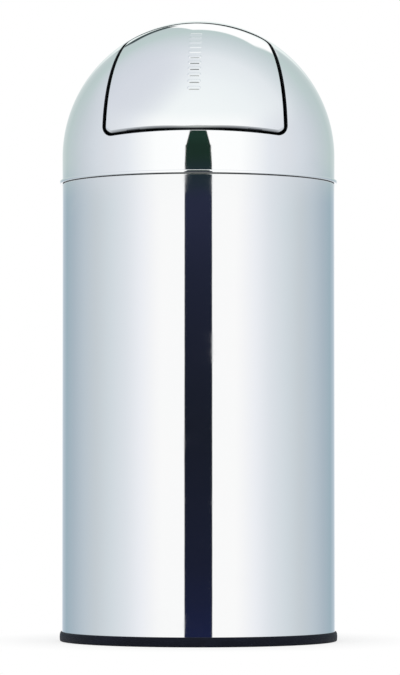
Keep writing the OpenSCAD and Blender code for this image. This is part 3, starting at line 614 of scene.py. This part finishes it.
def even_turns(count, gaps, samples=4097):
    """Turns round the mouth's middle that share out the length of the mouth's edge evenly."""
    fine = np.linspace(0, 2 * math.pi, samples)
    edge = mouth_line(fine, dome_r, gaps)
    length = np.concatenate([[0], np.cumsum(np.linalg.norm(np.diff(edge, axis=0), axis=1))])
    return np.interp(np.arange(count) / count * length[-1], length, fine)


def between(first, last, share):
    """Direction between two directions, along the ball."""
    angle = np.arccos(np.clip((first * last).sum(-1), -1, 1))[..., None]
    return (np.sin((1 - share) * angle) * first + np.sin(share * angle) * last) / np.sin(angle)


def folded_edge(turn, gaps, side, bends, length, steps, skin):
    """Rows of a turned-in edge, from the ball to its end: skin 0 is its outer face and the sheet's
    thickness its inner one. side is 1 for the flap, whose metal lies inside the line, and -1 for
    the dome. bends lists the stages of the bend, each with its radius and the angle it ends at;
    length is the flat part after them."""
    fold = bends[-1][1]
    rows = []
    for share in np.linspace(0, 1, steps + 1):
        depth, into, start = skin * np.cos(fold * share), skin * np.sin(fold * share), 0 * fold
        for radius, end in bends:
            here = np.clip(fold * share, start, end)
            depth = depth + radius * (np.cos(start) - np.cos(here))
            into = into + radius * (np.sin(np.minimum(end, np.pi / 2)) - np.sin(here))
            start = end
        rows.append((dome_r - depth)[:, None] * mouth_line(turn, dome_r - depth, gaps, side * into))
    for share in flat_shares:
        far, near = depth + share * length * np.sin(fold), into - share * length * np.cos(fold)
        rows.append((dome_r - far)[:, None] * mouth_line(turn, dome_r - far, gaps, side * near))
    return rows


turn = even_turns(dome_columns, eased)
edge_height = np.clip(above_sill(dome_r * mouth_line(turn, dome_r, eased)) / mouth_corner_r, 0, 1)
at_sill = 1 - edge_height**2 * (3 - 2 * edge_height)
fold = np.pi / 2 + np.pi / 4 * at_sill
at_corner = 4 * at_sill * (1 - at_sill)
flat = (mouth_edge - mouth_bend) * (1 - at_sill) + (mouth_lip - mouth_bend) * at_sill
flat *= 1 - corner_cut * at_corner
outer_edge = folded_edge(turn, eased, -1, [(mouth_bend, fold)], flat, bend_steps, 0)
inner_edge = folded_edge(turn, eased, -1, [(mouth_bend, fold)], flat, inner_bend_steps, sheet_t)

# Round the mouth the rows follow its edge; over the ball they run out to the ball's widest line
widest = math.pi - np.arange(dome_columns) / dome_columns * 2 * math.pi
rim_way = np.stack([np.sin(widest), -np.cos(widest), 0 * widest], axis=1)
outer_ball = [dome_r * mouth_line(turn, dome_r, eased, -w)
              for w in (mouth_bend + 1 * mm, mouth_bend + 2.5 * mm, near_edge)]
start = outer_ball[-1] / dome_r
outer_ball += [dome_r * between(start, rim_way, i / dome_rows) for i in range(1, dome_rows + 1)]
inner_r = dome_r - sheet_t
inner_start = mouth_line(turn, inner_r, eased, -near_edge)
inner_ball = [inner_r * between(inner_start, rim_way, i / inner_rows)
              for i in range(inner_rows, -1, -1)]

# The skirt and its bead are the same all the way round
bead_x, bead_z = dome_r - sheet_t / 2 + bead_r, skirt_foot_z - ball_z
bead_flat = bead_r - bead_corner_r
skirt = line((dome_r, 0), (dome_r, bead_z + bead_r - 0.1 * mm), 4)[1:]
bead = bow((bead_x + bead_flat, bead_z + bead_flat), bead_corner_r, 90, 0, 9)
bead += bow((bead_x + bead_flat, bead_z - bead_flat), bead_corner_r, 0, -90, 9)
bead += bow((bead_x, bead_z), bead_r, -90, -180, 10)
inner_skirt = line((inner_r, bead_z), (inner_r, 0), 4)[1:-1]
hoops = [np.concatenate([rim_way[:, :2] * r, np.full((dome_columns, 1), z)], axis=1)
         for r, z in skirt + bead + inner_skirt]
rows = outer_edge[::-1] + outer_ball + hoops + inner_ball + inner_edge


def sheet_from_rows(name, rows, bands, exact):
    """A closed sheet of metal from rows of points measured from the ball's middle. bands gives each
    material with the number of rows it covers; the rows numbered in exact get the ball's or the
    skirt's own normals, so that nothing bends their reflections."""
    count, columns = len(rows), len(rows[0])
    grid = np.array(rows)
    index = np.arange(count * columns).reshape(count, columns)
    below, beside = np.roll(index, -1, axis=0), np.roll(index, -1, axis=1)
    faces = np.stack([index, beside, np.roll(below, -1, axis=1), below], axis=-1).reshape(-1, 4)
    points = grid.reshape(-1, 3)
    a, b, c = points[faces[:, 0]], points[faces[:, 1]], points[faces[:, 2]]
    if (a * np.cross(b, c)).sum() < 0:
        faces = faces[:, ::-1]
    piece = mesh_piece(name, points + (0, 0, ball_z), faces)
    finish = np.concatenate([np.full(covered * columns, i) for i, (_, covered) in enumerate(bands)])
    piece.data.polygons.foreach_set("material_index", finish)
    for material, _ in bands:
        piece.data.materials.append(material)
    piece.data.set_sharp_from_angle(angle=sharp_fold)
    normals = np.zeros((count, columns, 3))
    for i in exact:
        on_the_ball = grid[i][:, 2].max() > 1e-9
        away = grid[i] * (1, 1, on_the_ball)
        normals[i] = away / np.linalg.norm(away, axis=1)[:, None]
    piece.data.normals_split_custom_set_from_vertices(normals.reshape(-1, 3).tolist())
    return piece


edge_rows = len(outer_edge)
last_skirt = edge_rows + len(outer_ball) + len(skirt)
mirror_dome = polished_steel("polished_dome_steel", 0.95)
# The turned-in edge past the polished rows takes a dark grey steel, far darker than the mill steel:
# painted shade for the dark gap round the flap.
shaded_edge_steel = dull_steel("shaded_edge_steel", tone(74, 78, 80), tone(52, 55, 58), 0.45)
turned_in = edge_rows - polished_edge_rows
last_bead = last_skirt + len(bead)
bands = [(shaded_edge_steel, turned_in), (mirror_dome, last_bead - turned_in),
         (mill_steel, len(rows) - last_bead)]
dome = sheet_from_rows("dome", rows, bands, range(edge_rows - 1, last_skirt - 1))
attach(dome, "dome")
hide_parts("dome_shell")


# ---- Locating ring ------------------
# Steel ring spot-welded inside the skirt. It rests on the tube's rolled edge and centres the dome.
cad["locating_ring"].data.materials[0] = mill_steel


# ---- Hinge --------------------------
# Two steel brackets welded under the dome hold a bright steel rod, with a push nut on each end. A
# peg riveted into each bracket stops the open flap.
bright_steel = dull_steel("bright_steel", tone(205, 206, 208), tone(186, 188, 190), 0.16)
push_nut_steel = dull_steel("push_nut_steel", tone(112, 114, 120), tone(84, 86, 92), 0.3)
for node in ("hinge_bracket_left", "hinge_bracket_right"):
    cad[node].data.materials[0] = mill_steel
for node in ("hinge_rod", "stop_pins"):
    cad[node].data.materials[0] = bright_steel
cad["rod_clips"].data.materials[0] = push_nut_steel


# ---- Flap ---------------------------
# A panel on the dome's own ball, with its edges turned in: along the bottom, where hands push, a
# crisp break, a wide bend and a tight one under it, and a tight bend elsewhere. Eleven bars are
# pressed out down its middle for grip; the upper ones are shallower.
flap_gaps = (3.3 * mm, 1.9 * mm, 5 * mm)
flap_edge = 9 * mm
flap_bend_r = 1.4 * mm
low_break_r, low_break_end = 0.8 * mm, math.radians(23)
low_wide_r, low_wide_end = 9.4 * mm, math.radians(53)
low_last_r = 2 * mm
low_extra = 3 * mm                      # metal that the wider bends take from the flat part
flap_bend_steps, flap_inner_steps = 27, 9
bar_count = 11
bar_w, bar_h, bar_out = 15 * mm, 4.4 * mm, 0.7 * mm
bar_low, bar_step = math.radians(24.5), math.radians(3.3)
bar_fade = np.radians((42, 54))         # over this rise the bars' height goes down
bar_heights = (1, 0.35)                 # from the first of these shares to the second
bar_soft = 0.6 * mm
patch_w, patch_h = 21 * mm, 97 * mm
patch_across, patch_up = 50, 230
flap_rows, flap_inner_rows = 56, 14


def bar_height(direction):
    """How far the pressed bars stand out of the flap in a direction from the ball's middle."""
    rise = np.arctan2(direction[..., 2], -direction[..., 1])
    nearest = np.clip(np.round((rise - bar_low) / bar_step), 0, bar_count - 1)
    up = dome_r * (rise - bar_low - nearest * bar_step)
    side = np.maximum(np.abs(dome_r * direction[..., 0]) - (bar_w - bar_h) / 2, 0)
    inside = np.clip((bar_soft - np.hypot(side, up) + bar_h / 2) / (2 * bar_soft), 0, 1)
    return bar_out * np.interp(rise, bar_fade, bar_heights) * inside**2 * (3 - 2 * inside)


# A fine even patch carries the bars; rows run from its border out to the flap's edge
across = np.linspace(-1, 1, patch_across + 1) * patch_w / 2 / dome_r
upward = mouth_middle + np.linspace(-1, 1, patch_up + 1) * patch_h / 2 / dome_r
lean, climb = np.meshgrid(across, upward)
patch = np.stack([np.sin(lean), -np.cos(lean) * np.cos(climb), np.cos(lean) * np.sin(climb)],
                 axis=-1)
number = np.arange(patch[..., 0].size).reshape(patch.shape[:2])
half = patch_across // 2
border = np.concatenate([number[-1, half:], number[-2:0:-1, -1], number[0, ::-1], number[1:-1, 0],
                         number[-1, :half]])
flat_patch = patch.reshape(-1, 3)
flap_turn = even_turns(len(border), flap_gaps)
line_height = above_sill(dome_r * mouth_line(flap_turn, dome_r, flap_gaps)) - flap_gaps[1]
line_height = np.clip(line_height / (mouth_corner_r - flap_gaps[0]), 0, 1)
low_share = 1 - line_height**2 * (3 - 2 * line_height)
flap_bends = [(low_break_r, low_break_end * low_share)]
for low_r, end in ((low_wide_r, low_wide_end), (low_last_r, math.pi / 2)):
    flap_bends += [(flap_bend_r + (low_r - flap_bend_r) * low_share, np.full(len(border), end))]
flap_flat = flap_edge - flap_bend_r - low_extra * low_share
flap_fold, flap_inner_fold = [
    folded_edge(flap_turn, flap_gaps, 1, flap_bends, flap_flat, steps, skin)
    for steps, skin in ((flap_bend_steps, 0), (flap_inner_steps, sheet_t))]
bend_start, inner_bend_start = flap_fold[0] / dome_r, flap_inner_fold[0] / inner_r
rings = [between(flat_patch[border], bend_start, i / flap_rows) for i in range(1, flap_rows)]
middle = np.broadcast_to(to_mouth, bend_start.shape)
inner_rings = [inner_r * between(middle, inner_bend_start, i / flap_inner_rows)
               for i in range(flap_inner_rows - 1, 0, -1)]

outer = np.concatenate([flat_patch, *rings])
outer_points = outer * (dome_r + bar_height(outer))[:, None]
tail = flap_fold + flap_inner_fold[::-1] + inner_rings
points = np.concatenate([outer_points, *tail, [inner_r * to_mouth]])
loops = [border] + [len(flat_patch) + i * len(border) + np.arange(len(border))
                    for i in range(len(rings) + len(tail))]
faces = [(number[j, i], number[j, i + 1], number[j + 1, i + 1], number[j + 1, i])
         for j in range(patch_up) for i in range(patch_across)]
for first, second in zip(loops, loops[1:]):
    faces += list(zip(first, np.roll(first, -1), np.roll(second, -1), second))
last = loops[-1]
faces += [(a, b, len(points) - 1) for a, b in zip(last, np.roll(last, -1))]
flap = mesh_piece("flap", points + (0, 0, ball_z), faces)

# The ball's own normals, tipped by the slope of the pressed bars
small = 0.02 * mm / dome_r
side_way = np.cross(outer, (0, 0, 1.0))
side_way /= np.linalg.norm(side_way, axis=1)[:, None]
up_way = np.cross(side_way, outer)
slopes = [(bar_height(outer + small * way) - bar_height(outer - small * way)) / (2 * small * dome_r)
          for way in (side_way, up_way)]
tipped = outer - slopes[0][:, None] * side_way - slopes[1][:, None] * up_way
normals = np.zeros((len(points), 3))
normals[:len(outer)] = tipped / np.linalg.norm(tipped, axis=1)[:, None]
normals[len(outer):len(outer) + len(border)] = bend_start
outer_faces = patch_across * patch_up + len(border) * (len(rings) + len(flap_fold))
finish = [0 if i < outer_faces else 1 for i in range(len(faces))]
flap.data.polygons.foreach_set("material_index", finish)
flap.data.materials.append(polished_steel("polished_flap_steel", 0.95))
flap.data.materials.append(mill_steel)
flap.data.set_sharp_from_angle(angle=sharp_fold)
flap.data.normals_split_custom_set_from_vertices(normals.tolist())
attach(flap, "flap")
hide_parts("flap_panel")


# ---- Flap arms, bushes, stops -------
# Steel arms welded inside the flap carry nylon bushes that run on the rod. Straps under the bottom
# edge reach down behind the dome, where their rubber studs stop the closing flap.
nylon, tree, place, output = new_material("nylon")
yellowing = noise(tree, place, 90, 3)
finish_with(tree, output, {
    "Base Color": blend_colours(tree, yellowing, tone(232, 228, 214), tone(218, 210, 190)),
    "Roughness": figure(tree, "MULTIPLY_ADD", yellowing, 0.15, 0.35), "Subsurface Weight": 0.1,
    "Normal": relief(tree, noise(tree, place, 900, 2), 0.01 * mm)})
stud_rubber = rubber("stud_rubber", (0.03, 0.03, 0.03), 0.5, 0.4)
# The straps take a darker grey steel than the mill steel: painted shade, so that they stay dark
# where they show in the gap under the flap.
shaded_strap_steel = dull_steel("shaded_strap_steel", tone(96, 98, 102), tone(70, 72, 76), 0.42)
for side in ("left", "right"):
    cad["flap_bracket_" + side].data.materials[0] = mill_steel
    cad["flap_bush_" + side].data.materials[0] = nylon
    cad["stop_bracket_" + side].data.materials[0] = shaded_strap_steel
    cad["stop_bumper_" + side].data.materials[0] = stud_rubber


# ---- Springs ------------------------
# A torsion spring on each end of the rod closes the flap. Each is one wire: a leg that hooks under
# the flap's arm, a coil round the rod and a leg behind the peg.
hinge_y, hinge_z = -28 * mm, 707.659 * mm
wire_r = 0.75 * mm
wire_sides = 12
coil_r = 5.25 * mm
coil_steps = 80
coil_from, coil_to = 62.55 * mm, 69.95 * mm
coil_first, coil_sweep = math.radians(-58.6013), math.radians(1449.34)
hook = [(58 * mm, -19.888 * mm, -16.198 * mm), (62.55 * mm, -12.301 * mm, -13.659 * mm)]
back_leg, back_leg_turn = 19.5 * mm, math.radians(40.739)


def nodes_tree(name, inputs):
    """A Geometry Nodes tree with these named inputs, its input sockets and its output."""
    tree = bpy.data.node_groups.new(name, "GeometryNodeTree")
    tree.interface.new_socket("Geometry", in_out="OUTPUT", socket_type="NodeSocketGeometry")
    for label, kind in inputs:
        tree.interface.new_socket(label, in_out="INPUT", socket_type=kind)
    given = tree.nodes.new("NodeGroupInput")
    return tree, given.outputs, tree.nodes.new("NodeGroupOutput").inputs["Geometry"]


def finish_tree(tree, geometry, material, output):
    """Turns instances into real mesh and gives it its material."""
    real = new_node(tree, "GeometryNodeRealizeInstances", {0: geometry}).outputs[0]
    inputs = {"Geometry": real, "Material": material}
    tree.links.new(new_node(tree, "GeometryNodeSetMaterial", inputs).outputs[0], output)


def grown(name, tree, values):
    """The piece that a Geometry Nodes tree makes with these values for its inputs."""
    piece = bpy.data.objects.new(name, bpy.data.meshes.new(name))
    bpy.context.scene.collection.objects.link(piece)
    modifier = piece.modifiers.new("nodes", "NODES")
    modifier.node_group = tree
    for item in tree.interface.items_tree:
        if item.in_out == "INPUT":
            modifier[item.identifier] = values[item.name]
    bpy.context.view_layer.update()
    made = piece.evaluated_get(bpy.context.evaluated_depsgraph_get())
    mesh = bpy.data.meshes.new_from_object(made)
    piece.modifiers.remove(modifier)
    piece.data = mesh
    mesh.shade_smooth()
    mesh.set_sharp_from_angle(angle=sharp_fold)
    return piece


spring_steel = dull_steel("spring_steel", tone(120, 122, 128), tone(92, 94, 100), 0.24)
numbers = ("Wire radius", "Coil radius", "Coil start", "Coil advance")
corners = ("Hook end", "Hook bend", "Back leg end")
tree, given, output = nodes_tree("spring", [(label, "NodeSocketFloat") for label in numbers]
                                 + [(label, "NodeSocketVector") for label in corners])

# The wire's points are numbered from the hook: two of the hook, the coil's and the back leg's end
index = tree.nodes.new("GeometryNodeInputIndex").outputs[0]
step = figure(tree, "MAXIMUM", figure(tree, "SUBTRACT", index, 2.0), 0.0)
step = figure(tree, "MINIMUM", step, float(coil_steps))
angle = figure(tree, "MULTIPLY_ADD", step, coil_sweep / coil_steps, coil_first)
coil = {0: figure(tree, "MULTIPLY_ADD", step, given["Coil advance"], given["Coil start"])}
for axis, wave, middle in ((1, "COSINE", hinge_y), (2, "SINE", hinge_z)):
    swing = figure(tree, "MULTIPLY", figure(tree, wave, angle), given["Coil radius"])
    coil[axis] = figure(tree, "ADD", swing, middle)
path = new_node(tree, "ShaderNodeCombineXYZ", coil).outputs[0]
for at, label in zip((0.0, 1.0, coil_steps + 3.0), corners):
    choice = {0: figure(tree, "COMPARE", index, at, 0.1), 4: path, 5: given[label]}
    path = new_node(tree, "ShaderNodeMix", choice, data_type="VECTOR").outputs[1]
spots = new_node(tree, "GeometryNodeMeshLine", {"Count": coil_steps + 4}).outputs[0]
wire = new_node(tree, "GeometryNodeMeshToCurve", {0: spots}).outputs[0]
bent = new_node(tree, "GeometryNodeSetPosition", {"Geometry": wire, "Position": path}).outputs[0]
section = new_node(tree, "GeometryNodeCurvePrimitiveCircle",
                   {"Resolution": wire_sides, "Radius": given["Wire radius"]}).outputs[0]
solid = new_node(tree, "GeometryNodeCurveToMesh",
                 {"Curve": bent, "Profile Curve": section, "Fill Caps": True}).outputs[0]
finish_tree(tree, solid, spring_steel, output)

coil_last = coil_first + coil_sweep
leg_end = (coil_to, coil_r * math.cos(coil_last) + back_leg * math.cos(back_leg_turn),
           coil_r * math.sin(coil_last) + back_leg * math.sin(back_leg_turn))
for side, way in (("left", -1), ("right", 1)):
    ends = [(way * x, hinge_y + y, hinge_z + z) for x, y, z in (*hook, leg_end)]
    spring = grown("torsion_spring_" + side, tree, {
        "Wire radius": wire_r, "Coil radius": coil_r, "Coil start": way * coil_from,
        "Coil advance": way * (coil_to - coil_from) / coil_steps, **dict(zip(corners, ends))})
    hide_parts("spring_" + side)
    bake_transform(spring)


# ---- Bucket -------------------------
# A lift-out bucket of galvanised sheet: a tapered wall with two swages and a rolled rim, a pressed
# base, riveted ears and a wire handle.
def zinc(name, light, dark):
    """Hot-dipped zinc: a patchwork of dull grey crystals."""
    material, tree, place, output = new_material(name)
    ripple = new_node(tree, "ShaderNodeTexNoise", {"Vector": place, "Scale": 60}).outputs["Color"]
    rippled = new_node(tree, "ShaderNodeVectorMath", {0: ripple, 1: (0.01, 0.01, 0.01), 2: place},
                       operation="MULTIPLY_ADD").outputs[0]
    crystals = new_node(tree, "ShaderNodeTexVoronoi", {"Vector": rippled, "Scale": 95})
    colours = crystals.outputs["Color"]
    grey, other_grey, _ = new_node(tree, "ShaderNodeSeparateColor", {0: colours}).outputs
    clouds = figure(tree, "MULTIPLY", noise(tree, place, 7, 4), 0.4)
    share = figure(tree, "ADD", figure(tree, "MULTIPLY", grey, 0.7), clouds)
    finish_with(tree, output, {
        "Base Color": blend_colours(tree, share, dark, light), "Metallic": 0.85,
        "Roughness": figure(tree, "MULTIPLY_ADD", other_grey, 0.18, 0.34),
        "Normal": relief(tree, noise(tree, place, 500, 3), 0.01 * mm)})
    return material


zinc_sheet = zinc("zinc_sheet", tone(186, 190, 193), tone(146, 151, 156))
zinc_wire = zinc("zinc_wire", tone(180, 183, 186), tone(150, 154, 158))
for node in ("bucket_wall", "bucket_base", "bucket_ear_left", "bucket_ear_right"):
    cad[node].data.materials[0] = zinc_sheet
cad["bail_handle"].data.materials[0] = zinc_wire

# Rivets: one is turned about its own axis, and nodes set four of them through the ears
rivet_z = 476.957 * mm
rivet_turn = math.asin(9 / 146)
shank_r, head_r, head_h = 2 * mm, 4 * mm, 2 * mm
inner_face, outer_face = 144.126 * mm, 147.276 * mm
rivet_sides = 40
ball_r = (head_r**2 + head_h**2) / 2 / head_h
head_turns = np.linspace(0.06, math.asin(head_r / ball_r), 9)     # from beside the head's tip
cap = [(ball_r * math.cos(a) - ball_r + head_h, ball_r * math.sin(a)) for a in head_turns]
profile = [(outer_face + x, r) for x, r in cap] + [(outer_face, shank_r)]
profile += [(inner_face, shank_r)] + [(inner_face - x, r) for x, r in cap[::-1]]
points = [(x, r * math.cos(a), r * math.sin(a)) for a in full_turn(rivet_sides) for x, r in profile]
points += [(outer_face + head_h, 0, 0), (inner_face - head_h, 0, 0)]
many = len(profile)
faces = []
for k in range(rivet_sides):
    a, b = k * many, (k + 1) % rivet_sides * many
    faces += [(a + i, b + i, b + i + 1, a + i + 1) for i in range(many - 1)]
    faces += [(b, a, len(points) - 2), (a + many - 1, b + many - 1, len(points) - 1)]
one_rivet = mesh_piece("one_rivet", points, [face[::-1] for face in faces])

tree, given, output = nodes_tree("rivets", [
    ("Rivet", "NodeSocketObject"), ("Half spread", "NodeSocketFloat"),
    ("Height", "NodeSocketFloat")])
index = tree.nodes.new("GeometryNodeInputIndex").outputs[0]
ear_turn = figure(tree, "FLOOR", figure(tree, "MULTIPLY", index, 0.5))
ear_turn = figure(tree, "MULTIPLY", ear_turn, math.pi)
sign = figure(tree, "MULTIPLY_ADD", figure(tree, "FLOORED_MODULO", index, 2.0), 2.0, -1.0)
about = figure(tree, "MULTIPLY_ADD", sign, given["Half spread"], ear_turn)
facing = new_node(tree, "ShaderNodeCombineXYZ", {2: about}).outputs[0]
lift = new_node(tree, "ShaderNodeCombineXYZ", {2: given["Height"]}).outputs[0]
spots = new_node(tree, "GeometryNodeMeshLine", {"Count": 4}).outputs[0]
raised = new_node(tree, "GeometryNodeSetPosition", {"Geometry": spots, "Position": lift}).outputs[0]
pattern = new_node(tree, "GeometryNodeObjectInfo", {"Object": given["Rivet"]}).outputs["Geometry"]
placed = new_node(tree, "GeometryNodeInstanceOnPoints",
                  {"Points": raised, "Instance": pattern, "Rotation": facing}).outputs[0]
finish_tree(tree, placed, zinc_sheet, output)
rivets = grown("rivets", tree, {"Rivet": one_rivet, "Half spread": rivet_turn, "Height": rivet_z})
bpy.data.objects.remove(one_rivet)
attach(rivets, "bucket")
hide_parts("ear_rivets")
